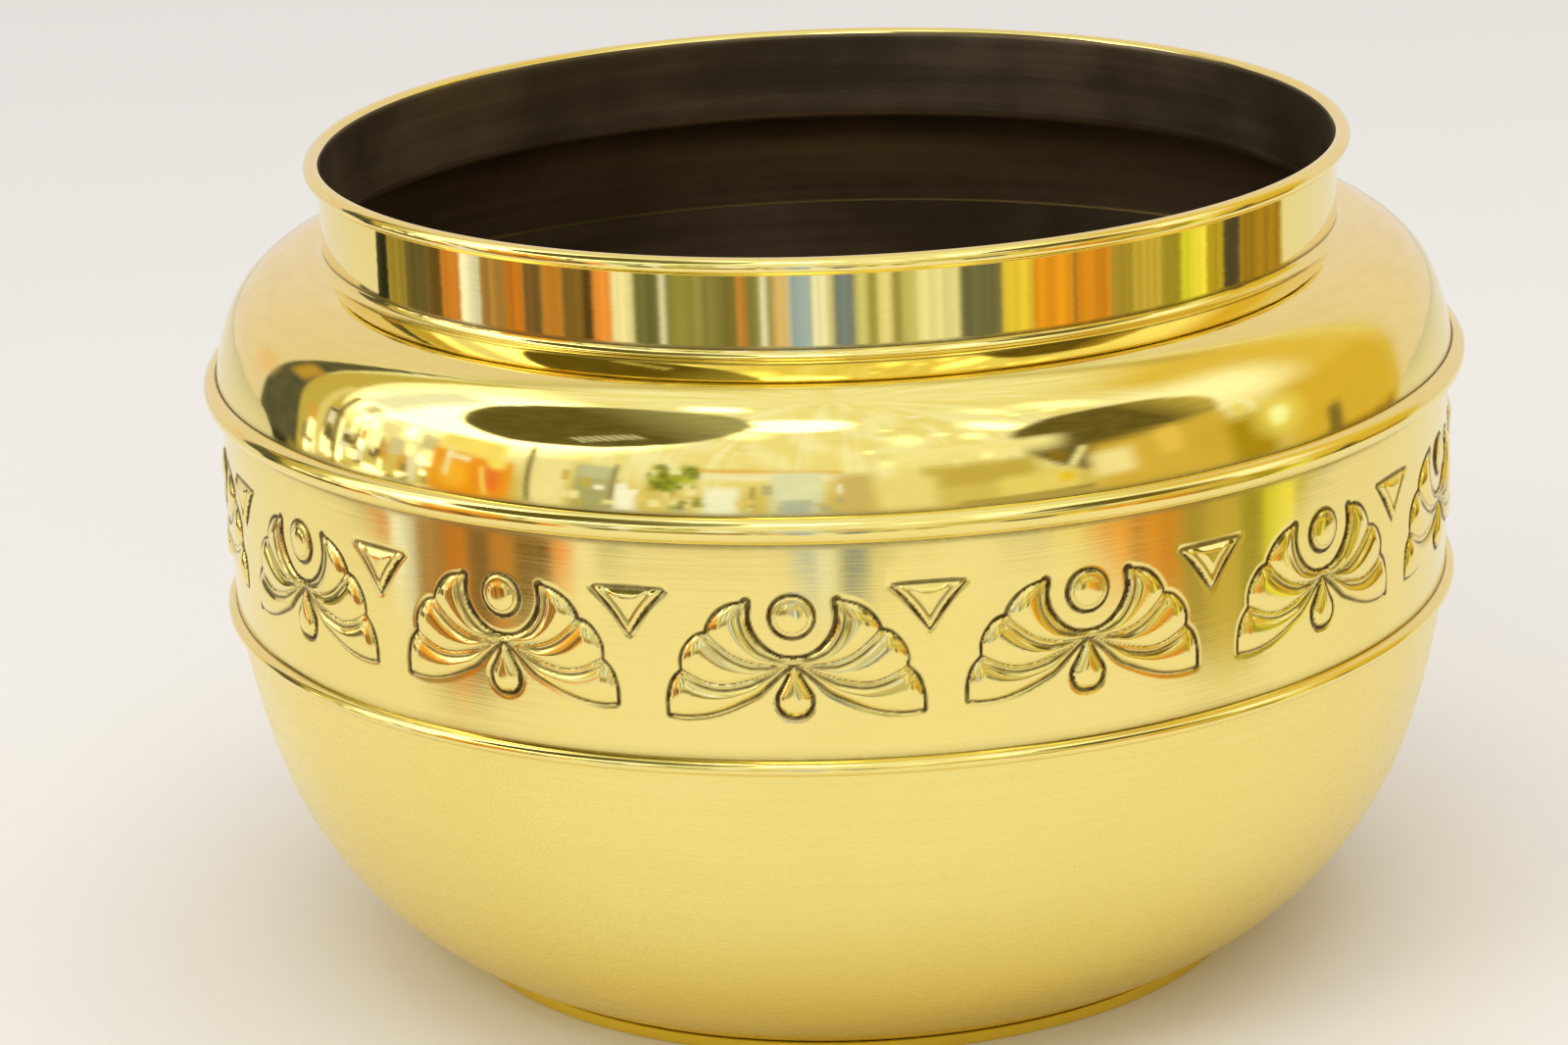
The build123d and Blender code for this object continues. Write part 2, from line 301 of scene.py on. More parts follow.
def brass(name, rough, lines, cloud, smear=0.0, ripple=0.0, painted_glow=0.0):
    """Yellow brass: level polishing lines, cloudy tarnish, ripples, and near-black darkening along
    joints, creases and chased lines.

    The last setting paints a deeper colour towards the foot, a painted reflection of the shaded floor
    there, which mirrors the brass's own glow.
    """
    material, nodes = new_material(name)
    fine, place = turning_coordinates(nodes, *POLISHING)
    broad, _ = turning_coordinates(nodes, *RIPPLES)
    streaks = nodes.noise(fine, 1.0, 3.0, 0.6)
    clouds = nodes.noise(place, 14.0, 4.0, 0.55)
    bands = nodes.noise(broad, 1.0, 2.0, 0.5)
    tone = nodes.ramp(nodes.mixed(clouds, 0.6, streaks, 0.4), 0.36, 0.66, 0.0, cloud)
    colour = nodes.blend(tone, BRASS, BRASS_DEEP)
    # painted reflection: deeper colour towards the foot, for the shaded floor that mirrors the brass's
    # own glow
    if painted_glow:
        level = nodes.add("ShaderNodeSeparateXYZ", Vector=place).outputs[2]
        colour = nodes.blend(nodes.ramp(level, 0.0, GLOW_HEIGHT, painted_glow, 0.0), colour, PAINTED_GLOW_COLOUR)
    # near-black brown laid in patches where the mesh's darkening is high: along joints, creases and
    # chased lines
    darkening = nodes.held("darkening", "Fac")
    patchy = nodes.ramp(nodes.noise(place, 420.0, 3.0, 0.6), 0.3, 0.6, 0.82, 1.0)
    darkness = nodes.math("MULTIPLY", darkening, patchy, clamp=True)
    colour = nodes.blend(darkness, colour, DARKENING_COLOUR)
    roughness = nodes.math("ADD", nodes.ramp(streaks, 0.3, 0.7, rough * 0.8, rough * 1.2),
                           nodes.math("MULTIPLY", darkness, 0.35))
    height = nodes.mixed(streaks, lines * LINE_DEPTH, bands, ripple * RIPPLE_DEPTH)
    shader = nodes.surface(colour, roughness, 1.0, height)
    if smear:
        shader.inputs["Anisotropic"].default_value = smear
        shader.inputs["Anisotropic Rotation"].default_value = 0.25
        tangent = nodes.add("ShaderNodeTangent", {"direction_type": "RADIAL", "axis": "Z"})
        nodes.put(shader, "Tangent", tangent.outputs[0])
    return material


mirror_collar = brass("mirror_collar", rough=0.05, lines=0.25, ripple=0.35, cloud=0.35)
mirror_shoulder = brass("mirror_shoulder", rough=0.055, lines=0.15, ripple=0.18, cloud=0.35)
polished_bead = brass("polished_bead", rough=0.09, lines=0.3, cloud=0.5)
chased_band = brass("chased_band", rough=0.12, smear=0.4, lines=0.3, cloud=0.45)
# the bowl and the foot get the painted reflection near the floor
satin_bowl = brass("satin_bowl", rough=0.26, smear=0.35, lines=0.25, cloud=0.55, painted_glow=0.75)
polished_foot = brass("polished_foot", rough=0.14, lines=0.5, cloud=0.6, painted_glow=0.9)


def oxidised(name, tone):
    """Dark brown oxidised brass inside the pot, with faint spinning rings."""
    material, nodes = new_material(name)
    fine, place = turning_coordinates(nodes, *RINGS)
    broad, _ = turning_coordinates(nodes, *INSIDE_BANDS)
    rings = nodes.noise(fine, 1.0, 3.0, 0.55)
    bands = nodes.noise(broad, 1.0, 3.0, 0.6)
    clouds = nodes.noise(place, 22.0, 5.0, 0.6)
    share = nodes.ramp(nodes.mixed(clouds, 0.5, bands, 0.5), 0.38, 0.64)
    colour = nodes.blend(share, tuple(c * 0.75 for c in tone), tuple(c * 1.35 for c in tone))
    worn = nodes.ramp(rings, 0.66, 0.78, 0.0, 0.35)
    colour = nodes.blend(worn, colour, WORN_INSIDE)
    roughness = nodes.ramp(clouds, 0.3, 0.7, 0.34, 0.5)
    nodes.surface(colour, roughness, 0.85, nodes.mixed(rings, RING_DEPTH, bands, BAND_DEPTH))
    return material


inside_dark = oxidised("inside_dark", (0.150, 0.112, 0.068))
inside_bowl = oxidised("inside_bowl", (0.440, 0.335, 0.200))

# ---- the shells and rings ----


def make_bowl():
    inner_side, inner_turn = BOWL_SIDE_RADIUS - BOWL_SHEET, BOWL_TURN_RADIUS - BOWL_SHEET
    floor_z = FOOT_HEIGHT + BOWL_SHEET
    floor_elevation = elevation_at(BOWL_TURN_CENTRE, inner_turn, floor_z)
    rim_elevation = elevation_at(BOWL_SIDE_CENTRE, inner_side, JOINT_Z)
    section = Section((0, FOOT_HEIGHT))
    section.to(on_circle(BOWL_TURN_CENTRE, BOWL_TURN_RADIUS, -BOWL_FOOT_LEAN), darkening=0.5)
    section.arc(BOWL_TURN_CENTRE, BOWL_TURN_RADIUS, -BOWL_FOOT_LEAN, -BOWL_TURN_LEAN)
    section.arc(BOWL_SIDE_CENTRE, BOWL_SIDE_RADIUS, -BOWL_TURN_LEAN, -BOWL_TOP_LEAN)
    section.to(on_circle(BOWL_SIDE_CENTRE, inner_side, rim_elevation), INSIDE)
    section.arc(BOWL_SIDE_CENTRE, inner_side, rim_elevation, -BOWL_TURN_LEAN, INSIDE)
    section.arc(BOWL_TURN_CENTRE, inner_turn, -BOWL_TURN_LEAN, floor_elevation, INSIDE)
    section.to((0, floor_z), INSIDE)
    return turned("spun_bowl", section, [satin_bowl, inside_bowl])


def make_foot_ring():
    outer = on_circle(BOWL_TURN_CENTRE, BOWL_TURN_RADIUS, -BOWL_FOOT_LEAN)[0] + FOOT_PROJECTION
    inner = outer - FOOT_WIDTH
    section = Section((inner, 0.2))
    section.to((inner + 0.2, 0))
    section.to((outer - FOOT_ROUND, 0))
    section.arc((outer - FOOT_ROUND, FOOT_ROUND), FOOT_ROUND, -90, 0)
    section.to((outer, FOOT_HEIGHT - 0.3), step=0.5)
    section.to((outer - 0.3, FOOT_HEIGHT), darkening=0.6)
    section.to((inner, FOOT_HEIGHT))
    section.to((inner, 0.2))
    return turned("turned_foot_ring", section, [polished_foot])


def band_radius(level):
    return BOWL_TOP_RADIUS + np.minimum((level - JOINT_Z) / BAND_HEIGHT, 1) * BAND_FLARE


def make_lower_bead():
    top_z, bottom_z = JOINT_Z + LOWER_BEAD_HEIGHT / 2, JOINT_Z - LOWER_BEAD_HEIGHT / 2
    bottom_elevation = elevation_at(BOWL_SIDE_CENTRE, BOWL_SIDE_RADIUS, bottom_z)
    bottom = on_circle(BOWL_SIDE_CENTRE, BOWL_SIDE_RADIUS, bottom_elevation)
    top = (band_radius(top_z), top_z)
    section = Section((BOWL_TOP_RADIUS, JOINT_Z))
    section.to(top, darkening=0.9)
    for share in [(i + 1) / 14 for i in range(14)]:
        angle = math.pi * (0.5 - share)
        across = BOWL_TOP_RADIUS + LOWER_BEAD_WIDTH * math.cos(angle)
        floor = top[0] + (bottom[0] - top[0]) * share
        section.to((max(across, floor), JOINT_Z + LOWER_BEAD_HEIGHT / 2 * math.sin(angle)))
    section.darkening[-1] = 0.9
    section.arc(BOWL_SIDE_CENTRE, BOWL_SIDE_RADIUS, bottom_elevation, -BOWL_TOP_LEAN)
    return turned("lower_bead_ring", section, [polished_bead])


def make_upper_bead():
    centre = (SKIRT_RADIUS, SKIRT_BOTTOM_Z + UPPER_BEAD_RADIUS)
    section = Section(on_circle(centre, UPPER_BEAD_RADIUS, -90))
    section.darkening[0] = 0.9
    section.arc(centre, UPPER_BEAD_RADIUS, -90, 90, step=0.5, darkening=0.8)
    section.to(section.points[0])
    return turned("upper_bead_wire", section, [polished_bead])


def make_shoulder():
    side, turn = SHOULDER_SIDE_RADIUS - SHOULDER_SHEET, SHOULDER_TURN_RADIUS - SHOULDER_SHEET
    crown = CROWN_RADIUS - SHOULDER_SHEET
    inner_start = math.degrees(math.acos((BAND_TOP_RADIUS - DOME_SIDE_CENTRE[0]) / side))
    bead_top = SKIRT_BOTTOM_Z + 2 * UPPER_BEAD_RADIUS
    section = Section((SKIRT_RADIUS, SKIRT_BOTTOM_Z))
    section.to((SKIRT_RADIUS, SKIRT_TOP_Z), darkening=0.7)
    section.arc(DOME_SIDE_CENTRE, SHOULDER_SIDE_RADIUS, SHOULDER_FOOT_LEAN, SHOULDER_TURN_LEAN, step=0.8)
    section.arc(DOME_TURN_CENTRE, SHOULDER_TURN_RADIUS, SHOULDER_TURN_LEAN, CROWN_LEAN, step=0.8)
    section.arc(CROWN_CENTRE, CROWN_RADIUS, CROWN_LEAN, NECK_LEAN, step=0.5)
    section.arc(NECK_CENTRE, NECK_TURN_RADIUS, 180 + NECK_LEAN, 180, step=0.2, darkening=0.9)
    section.to((COLLAR_OUTER - SHOULDER_SHEET, NECK_Z), INSIDE)
    section.arc(NECK_CENTRE, NECK_TURN_RADIUS + SHOULDER_SHEET, 180, 180 + NECK_LEAN, INSIDE, step=0.5)
    section.arc(CROWN_CENTRE, crown, NECK_LEAN, CROWN_LEAN, INSIDE)
    section.arc(DOME_TURN_CENTRE, turn, CROWN_LEAN, SHOULDER_TURN_LEAN, INSIDE)
    section.arc(DOME_SIDE_CENTRE, side, SHOULDER_TURN_LEAN, inner_start, INSIDE)
    section.to((BAND_TOP_RADIUS, SKIRT_BOTTOM_Z), INSIDE)
    section.to((SKIRT_RADIUS, SKIRT_BOTTOM_Z))
    # darker just above the bead
    for index, (across, level) in enumerate(section.points):
        if across > SKIRT_RADIUS - 3 and level > bead_top - 0.5:
            above_bead = 0.6 * math.exp(-abs(level - bead_top) / 0.5)
            section.darkening[index] = max(section.darkening[index], above_bead)
    return turned("spun_shoulder", section, [mirror_shoulder, inside_dark], FINE_SEGMENTS)


def make_collar():
    curl_end = 180 - RIM_CURL
    section = Section((COLLAR_INNER, NECK_Z))
    section.to((COLLAR_OUTER, NECK_Z), INSIDE)
    section.darkening[-1] = 0.9
    section.to((COLLAR_OUTER, ROLL_CENTRE[1]), step=1.0, darkening=0.6)
    section.arc(ROLL_CENTRE, WIRE_RADIUS, 180, curl_end)
    section.to(on_circle(ROLL_CENTRE, ROLL_RADIUS, curl_end), darkening=0.8)
    section.arc(ROLL_CENTRE, ROLL_RADIUS, curl_end, 150, step=0.35)
    section.arc(ROLL_CENTRE, ROLL_RADIUS, 150, 180, INSIDE, step=0.35)
    section.to((COLLAR_INNER, NECK_Z), INSIDE, step=2.0)
    return turned("wired_collar", section, [mirror_collar, inside_dark], FINE_SEGMENTS)


# ---- frieze ----
# Outlines of a palmette's right wing, in millimetres from the medallion's centre.

TIP, UPPER_NOTCH, LOWER_NOTCH, CORNER = (9.7, 3.3), (18.4, -3.8), (24.0, -12.2), (27.2, -22.1)
U_EDGE = [(0, -9.6), (3.4, -9.0), (6.6, -7.1), (9.0, -4.0), (10.05, -0.4), TIP]
PETAL_ENDS = [
    [TIP, (13.4, 2.3), (16.1, 0.4), (17.9, -2.1), UPPER_NOTCH],
    [UPPER_NOTCH, (21.0, -4.6), (23.1, -6.9), (24.1, -9.5), LOWER_NOTCH],
    [LOWER_NOTCH, (26.1, -14.8), (27.1, -18.4), CORNER],
]
FIRST_BORDER = [UPPER_NOTCH, (16.5, -5.7), (13.5, -8.2), (10.0, -9.9), (5.2, -10.8), (0.9, -10.7)]
SECOND_BORDER = [LOWER_NOTCH, (22.5, -13.0), (19.0, -14.6), (15.1, -15.2), (10.2, -14.3),
                 (5.3, -12.6), (0.9, -10.9)]
LOWER_EDGE = [CORNER, (23.5, -22.4), (19.0, -21.9), (14.5, -20.5), (10.0, -18.4), (7.7, -17.1),
              (5.0, -14.6), (2.7, -12.5), (0.9, -11.2)]
TEARDROP = [(0, -11.2), (0.9, -13.2), (2.1, -15.6), (3.1, -17.6), (3.3, -19.0), (2.9, -20.7),
            (1.8, -21.9), (0, -22.3)]
TRIANGLE_TOP = [(0, 4.5), (4.0, 4.6), (8.0, 4.8)]
TRIANGLE_SIDE = [(8.0, 4.8), (5.2, 2.2), (2.7, -0.9), (0, -5.3)]
MEDALLION_RADIUS, MEDALLION_LINE = 4.5, 0.65
TRIANGLE_SHIFT = -2.6                  # the hand-set triangles sit a little left of the middle
TRIANGLE_HALF = 8.3                    # half the width of a triangle's top edge
NUDGES = {0: 0.9, 1: -1.0}             # how far single palmettes are set aside
RELIEF = 1.05                          # scale of all the heights below
RIM_WIDTH, RIM_SHARE = 0.95, 0.26      # rim of a petal, and its share of a narrow petal
MOTIF_BELOW, MOTIF_ABOVE = 26.5, 6.6   # reach of the finely divided part from the medallions
COLUMNS, QUICK_COLUMNS = 190, 110      # steps across one motif
CURVE_STEPS, FRIEZE_SEED, ROOM_SEED = 6, 14, 5


def smooth_line(points):
    """Points along a Catmull-Rom curve through the given ones."""
    given = np.array(points, dtype=float)
    ends = np.vstack([2 * given[0] - given[1], given, 2 * given[-1] - given[-2]])
    out = [given[0]]
    for i in range(1, len(ends) - 2):
        a, b, c, d = ends[i - 1:i + 3]
        for t in [(k + 1) / CURVE_STEPS for k in range(CURVE_STEPS)]:
            out.append(0.5 * (2 * b + (c - a) * t + (2 * a - 5 * b + 4 * c - d) * t * t
                              + (3 * b - a - 3 * c + d) * t ** 3))
    return np.array(out)


def distance_to(u, v, line):
    """Distance of each point from a polyline, and how far along it the nearest place is."""
    best = np.full(u.shape, np.inf)
    share = np.zeros(u.shape)
    lengths = np.hypot(*(line[1:] - line[:-1]).T)
    starts = np.concatenate([[0], np.cumsum(lengths)])
    for (ax, ay), (bx, by), length, start in zip(line[:-1], line[1:], lengths, starts):
        t = np.clip(((u - ax) * (bx - ax) + (v - ay) * (by - ay)) / length ** 2, 0, 1)
        gap = np.hypot(u - ax - t * (bx - ax), v - ay - t * (by - ay))
        nearer = gap < best
        best = np.where(nearer, gap, best)
        share = np.where(nearer, (start + t * length) / starts[-1], share)
    return best, share


def inside_of(u, v, outline):
    """Whether each point lies inside a closed polygon."""
    within = np.zeros(u.shape, dtype=bool)
    for (ax, ay), (bx, by) in zip(outline, np.roll(outline, -1, axis=0)):
        if ay != by:
            crosses = ((ay > v) != (by > v)) & (u < (bx - ax) * (v - ay) / (by - ay) + ax)
            within ^= crosses
    return within


def mirrored_outline(half):
    """Closed outline from its right half, which starts and ends on the middle line."""
    return np.vstack([half, (half * [-1, 1])[::-1][1:-1]])


def step_up(value, low, high):
    """0 below the low value, 1 above the high one, and smooth between them."""
    t = np.clip((value - low) / (high - low), 0, 1)
    return t * t * (3 - 2 * t)


def ridge(value, centre, width):
    """Smooth ridge of height 1."""
    return np.exp(-((value - centre) / width) ** 2)


def stroke(distance, half, soft):
    """Chased line: 1 to half its width from the middle, fading over the softness."""
    return 1 - step_up(distance, half, half + soft)


def petal_relief(u, v, upper, end, lower, boldness):
    """Height and chased line of one petal: a rim along its upper and outer edge, and a domed body."""
    outline = np.vstack([upper[::-1], end[1:], lower[1:]])
    within = inside_of(u, v, outline)
    from_upper, along_upper = distance_to(u, v, upper)
    from_end, _ = distance_to(u, v, end)
    from_lower, _ = distance_to(u, v, lower)
    edge = np.minimum(np.minimum(from_upper, from_end), from_lower)
    width = from_upper + from_lower
    rim = np.minimum(RIM_WIDTH, RIM_SHARE * width)
    t = np.clip((from_upper - 1.45 * rim) / np.maximum(width - 1.6 * rim, 0.05), 0, 1)
    body = 0.30 + 0.70 * np.sin(np.pi * t ** 0.85) ** 0.8
    wall = 0.55 + 0.30 * ridge(from_upper, rim * 0.5, rim * 0.38)
    blend = step_up(from_upper, rim * 0.95, rim * 1.5)
    height = wall * (1 - blend) + body * blend
    height -= 0.28 * ridge(from_upper, rim * 1.22, rim * 0.22 + 0.02)
    height *= step_up(edge, 0.0, 0.45) * (0.45 + 0.55 * step_up(from_end, 0.0, 2.6))
    fade = step_up(along_upper, 0.02, 0.2) * (1 - step_up(along_upper, 0.72, 0.97))
    groove = ridge(from_upper, rim * 1.28, 0.28 * boldness) * (0.15 + 0.85 * fade)
    line = np.maximum(groove, 0.85 * ridge(from_lower, 0.0, 0.26))
    return np.where(within, height, 0), np.where(within, line, 0), within


def palmette_relief(u, v, rng):
    """Height in millimetres and chased line of one palmette with its medallion and teardrop."""
    height = np.zeros(u.shape)
    line = np.zeros(u.shape)
    inside = np.zeros(u.shape, dtype=bool)
    side = np.abs(u)
    borders = [smooth_line(border) for border in (U_EDGE, FIRST_BORDER, SECOND_BORDER, LOWER_EDGE)]
    borders[0] = np.vstack([borders[0][::-1], [(0.0, -10.6)]])
    ends = [smooth_line(end) for end in PETAL_ENDS]
    for index, end in enumerate(ends):
        bold = 0.8 + 0.6 * rng.random()
        raised, chased, within = petal_relief(side, v, borders[index], end, borders[index + 1], bold)
        height = np.maximum(height, raised)
        line = np.maximum(line, chased)
        inside |= within
    outside = ~inside
    edge = np.minimum.reduce([distance_to(side, v, end)[0] for end in ends])
    scallops = 0.60 + 0.18 * np.sin(u * 0.55 + rng.random() * 6)
    line = np.where(outside, np.maximum(line, stroke(edge, scallops, 0.4)), line)
    from_u, _ = distance_to(side, v, borders[0])
    thick = 0.66 + 0.40 * step_up(side, 2.0, 8.0)
    line = np.where(outside, np.maximum(line, stroke(from_u, thick, 0.35)), line)
    from_low, along_low = distance_to(side, v, borders[3])
    thin = 0.30 + 0.45 * step_up(along_low, 0.35, 0.9)
    line = np.where(outside, np.maximum(line, 0.9 * stroke(from_low, thin, 0.3)), line)
    groove = np.minimum(np.minimum(edge, from_u), from_low)
    height = np.where(outside, -0.18 * ridge(groove, 0.4, 0.35), height)

    drop = smooth_line(TEARDROP)
    within = inside_of(u, v, mirrored_outline(drop))
    from_edge, _ = distance_to(side, v, drop)
    dome = np.sqrt(np.clip(1 - (1 - np.clip(from_edge / 3.1, 0, 1)) ** 2, 0, 1))
    flutes = 1 - 0.12 * step_up(v, -18.0, -14.0) * (1 - np.abs(np.cos(u * 2.6)))
    height = np.where(within, 1.15 * dome * flutes, height)
    line = np.where(within, 0, line)
    halo = ~within & (v < -12.6)
    near = 0.55 + 0.35 * step_up(-v, 14.0, 19.0)
    line = np.where(halo, np.maximum(line, stroke(from_edge, near, 0.4)), line)
    height = np.where(halo & (from_edge < 1.2) & outside, -0.2, height)

    radius = np.hypot(u, v)
    boss = 0.45 + 0.55 * np.sqrt(np.clip(1 - (radius / 3.4) ** 2, 0, 1))
    disc = np.where(radius < 3.35, boss, 0.35 + 0.5 * ridge(radius, 4.0, 0.32))
    disc = disc * stroke(radius, MEDALLION_RADIUS - 0.15, 0.3)
    height = np.where(radius < MEDALLION_RADIUS + 0.15, disc, height)
    ring_width = 0.5 * MEDALLION_LINE * (1 + 0.35 * np.cos(np.arctan2(v, u) - 3.6 - rng.random()))
    ring = stroke(np.abs(radius - MEDALLION_RADIUS - MEDALLION_LINE * 0.5), ring_width, 0.3)
    line = np.maximum.reduce([line, ring, 0.4 * ridge(radius, 3.5, 0.14)])
    return height, line


def triangle_relief(u, v):
    """Height and chased line of an inverted triangle: a frame round a raised inner one."""
    side = np.abs(u)
    slanted, top = smooth_line(TRIANGLE_SIDE), smooth_line(TRIANGLE_TOP)
    within = inside_of(u, v, mirrored_outline(np.vstack([top, slanted[1:]])))
    from_side, along = distance_to(side, v, slanted)
    from_top, _ = distance_to(side, v, top)
    edge = np.minimum(from_side, from_top)
    frame_rim = 0.6 + 0.3 * ridge(from_side, 0.55, 0.4)
    body = 0.35 + 0.6 * step_up(from_side, 1.3, 2.6) * step_up(from_top, 0.0, 1.2)
    height = np.where(from_side < 1.2, frame_rim, body) - 0.3 * ridge(from_side, 1.25, 0.22)
    height = np.where(within, height * step_up(edge, 0, 0.4), 0)
    groove = ridge(from_side, 1.28, 0.2) * step_up(from_top, 0.4, 1.4)
    line = np.where(within, 0.85 * groove, 0)
    swell = 0.3 + 0.6 * np.sin(np.pi * np.clip(along, 0.02, 0.98))
    slant = stroke(from_side, swell, 0.35) * (v < 4.7)
    arch = 0.75 * (1 - (side / TRIANGLE_HALF) ** 2)
    lens = stroke(from_top, 0.25 + arch, 0.35) * (side < TRIANGLE_HALF - 0.1)
    line = np.where(within, line, np.maximum(slant, 0.8 * lens * (v > 4.3)))
    height = np.where(~within & (edge < 1.1), -0.15 * ridge(edge, 0.4, 0.4), height)
    return height, line


def grid_faces(rows, columns, closed):
    """Quads of a grid of points that closes round the pot, and back to its first row if asked."""
    row = np.arange(rows if closed else rows - 1)[:, None]
    column = np.arange(columns)[None, :]
    low, high = row * columns, (row + 1) % rows * columns
    after = (column + 1) % columns
    return np.stack([low + column, low + after, high + after, high + column], axis=-1).reshape(-1, 4)


def frieze_relief(levels, per_motif, cell):
    """Heights and chased lines of the whole band, as it would lie unrolled."""
    columns = per_motif * MOTIF_COUNT
    rise = np.zeros((len(levels), columns))
    chased = np.zeros_like(rise)
    rng = np.random.default_rng(FRIEZE_SEED)
    flat_u, flat_v = np.meshgrid((np.arange(per_motif) - per_motif / 2) * cell, levels - MEDALLION_Z)
    for index in range(MOTIF_COUNT):
        turn, swell = np.radians(rng.normal(0, 0.7)), 1 + rng.normal(0, 0.008)
        shift_u, shift_v = rng.normal(0, 0.25, 2)
        shift_u += NUDGES.get(index, 0)
        u, v = flat_u - shift_u, flat_v - shift_v
        along = (u * math.cos(turn) + v * math.sin(turn)) * swell
        above = (v * math.cos(turn) - u * math.sin(turn)) * swell
        height, line = palmette_relief(along, above, rng)
        where = index * per_motif + np.arange(per_motif)
        rise[:, where] += height
        chased[:, where] = np.maximum(chased[:, where], line)
        shift_u, shift_v = rng.normal(TRIANGLE_SHIFT, 0.3), rng.normal(0, 0.3)
        height, line = triangle_relief(flat_u - shift_u, flat_v - shift_v)
        where = (where + per_motif // 2) % columns
        rise[:, where] += height * (rise[:, where] <= 0.01)
        chased[:, where] = np.maximum(chased[:, where], line)
    for _ in range(2):
        rise = 0.5 * rise + 0.25 * (np.roll(rise, 1, axis=1) + np.roll(rise, -1, axis=1))
        rise[1:-1] = 0.5 * rise[1:-1] + 0.25 * (rise[:-2] + rise[2:])
    return rise, chased


def make_frieze():
    """Rolled strip with the frieze chased in it, on a grid fine enough for each line."""
    per_motif = COLUMNS
    columns = per_motif * MOTIF_COUNT
    cell = 2 * math.pi * BOWL_TOP_RADIUS / MOTIF_COUNT / per_motif
    top_z = SKIRT_BOTTOM_Z + BAND_LAP
    motif_low, motif_high = MEDALLION_Z - MOTIF_BELOW, MEDALLION_Z + MOTIF_ABOVE
    fine = np.linspace(motif_low, motif_high, round((motif_high - motif_low) / cell) + 1)
    low = np.linspace(JOINT_Z, motif_low, 7)[:-1]
    high = np.append(np.linspace(motif_high, SKIRT_BOTTOM_Z, 6)[1:], top_z)
    levels = np.concatenate([low, fine, high])
    rise, chased = frieze_relief(levels, per_motif, cell)
    angles = math.radians(MOTIF_TURN) + (np.arange(columns) - per_motif / 2) * 2 * math.pi / columns
    outer = band_radius(levels)[:, None] + rise * RELIEF
    # darker along the chased lines and beside the beads at the band's seams
    seam = np.exp(-np.abs(levels - JOINT_Z - 1.8) / 0.55) + np.exp(-np.abs(levels - SKIRT_BOTTOM_Z) / 0.6)
    dark_share = np.maximum(chased, 0.85 * np.clip(seam, 0, 1)[:, None])
    inner_levels = np.array([top_z, SKIRT_BOTTOM_Z, MEDALLION_Z, JOINT_Z])
    inner = (band_radius(inner_levels) - BAND_SHEET)[:, None] + np.zeros((1, columns))
    rows_r = np.vstack([outer, inner])
    rows_z = np.concatenate([levels, inner_levels])
    points = np.stack([rows_r * np.sin(angles), -rows_r * np.cos(angles),
                       rows_z[:, None] + np.zeros_like(rows_r)], axis=-1)
    finish = np.repeat((np.arange(len(rows_z)) >= len(levels)).astype(int), columns)
    spread = np.broadcast_to(np.arange(columns) / columns, rows_r.shape)
    heights = np.append(rows_z, rows_z[0]) * MM
    lower = np.broadcast_to(heights[:-1, None], spread.shape)
    upper = np.broadcast_to(heights[1:, None], spread.shape)
    uv = np.stack([np.stack(corner, -1) for corner in (
        (spread, lower), (spread + 1 / columns, lower), (spread + 1 / columns, upper), (spread, upper),
    )], axis=2)
    dark_share = np.vstack([dark_share, np.zeros_like(inner)])
    faces = grid_faces(len(rows_z), columns, True)
    return new_object("embossed_frieze_band", points.reshape(-1, 3), faces.tolist(), finish,
                      [chased_band, inside_dark], uv, dark_share.ravel())


for make, node, slot in (
    (make_bowl, "bowl", "satin_bowl"),
    (make_foot_ring, "foot_ring", "polished_foot"),
    (make_lower_bead, "lower_bead", "polished_bead"),
    (make_frieze, "frieze_band", "chased_band"),
    (make_upper_bead, "upper_bead", "polished_bead"),
    (make_shoulder, "shoulder", "mirror_shoulder"),
    (make_collar, "collar", "mirror_collar"),
):
    piece = make()
    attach(piece, "root")
    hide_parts(node)


def steel():
    """Dull iron wire with brown spots."""
    material, nodes = new_material("steel_wire")
    spots = nodes.noise(nodes.place(), 300.0, 3.0, 0.6)
    colour = nodes.blend(nodes.ramp(spots, 0.4, 0.65), (0.40, 0.40, 0.41), (0.24, 0.20, 0.16))
    nodes.surface(colour, nodes.ramp(spots, 0.3, 0.7, 0.3, 0.55), 1.0)
    return material


# The solid's own mesh shows the wire, so it only gets its finish here.
wire_finish = steel()
for material_slot in bpy.data.objects["rim_wire"].material_slots:
    material_slot.material = wire_finish

# ---- floor, lamps and surroundings ----

WALL, DAYLIGHT = (0.775, 0.753, 0.716), (0.66, 0.655, 0.65)
FLOOR_TONES = (0.80, 0.775, 0.745), (0.84, 0.82, 0.79)
LAMP_WHITE = (1.0, 0.98, 0.95)
FAR, SIDES = 12.0, 180     # metres to the floor's outer edge, and steps round it


def floor_material():
    """Pale matt floor, very slightly uneven in tone."""
    material, nodes = new_material("pale_floor")
    soft = nodes.noise(nodes.place(), 2.2, 2.0, 0.5)
    shader = nodes.surface(nodes.blend(soft, *FLOOR_TONES), 0.75)
    shader.inputs["Specular IOR Level"].default_value = 0.2
    return material


floor_finish = floor_material()


def floor_part(name, points, faces):
    mesh = bpy.data.meshes.new(name)
    mesh.from_pydata(points, [], faces)
    mesh.materials.append(floor_finish)
    return linked(name, mesh)


def edge_distance(azimuth):
    """Metres from the pot to where the brass stops mirroring the floor. Azimuth 0 is the front."""
    off = abs((azimuth + 180) % 360 - 180)
    side_dip = 0.22 * math.exp(-((off - 62) / 22) ** 2)
    front_dip = 0.13 * math.exp(-(off / 8) ** 2)
    behind = 2.0 * max(0.0, min(1.0, (off - 112) / 14))
    return 0.62 - (side_dip + front_dip) + behind


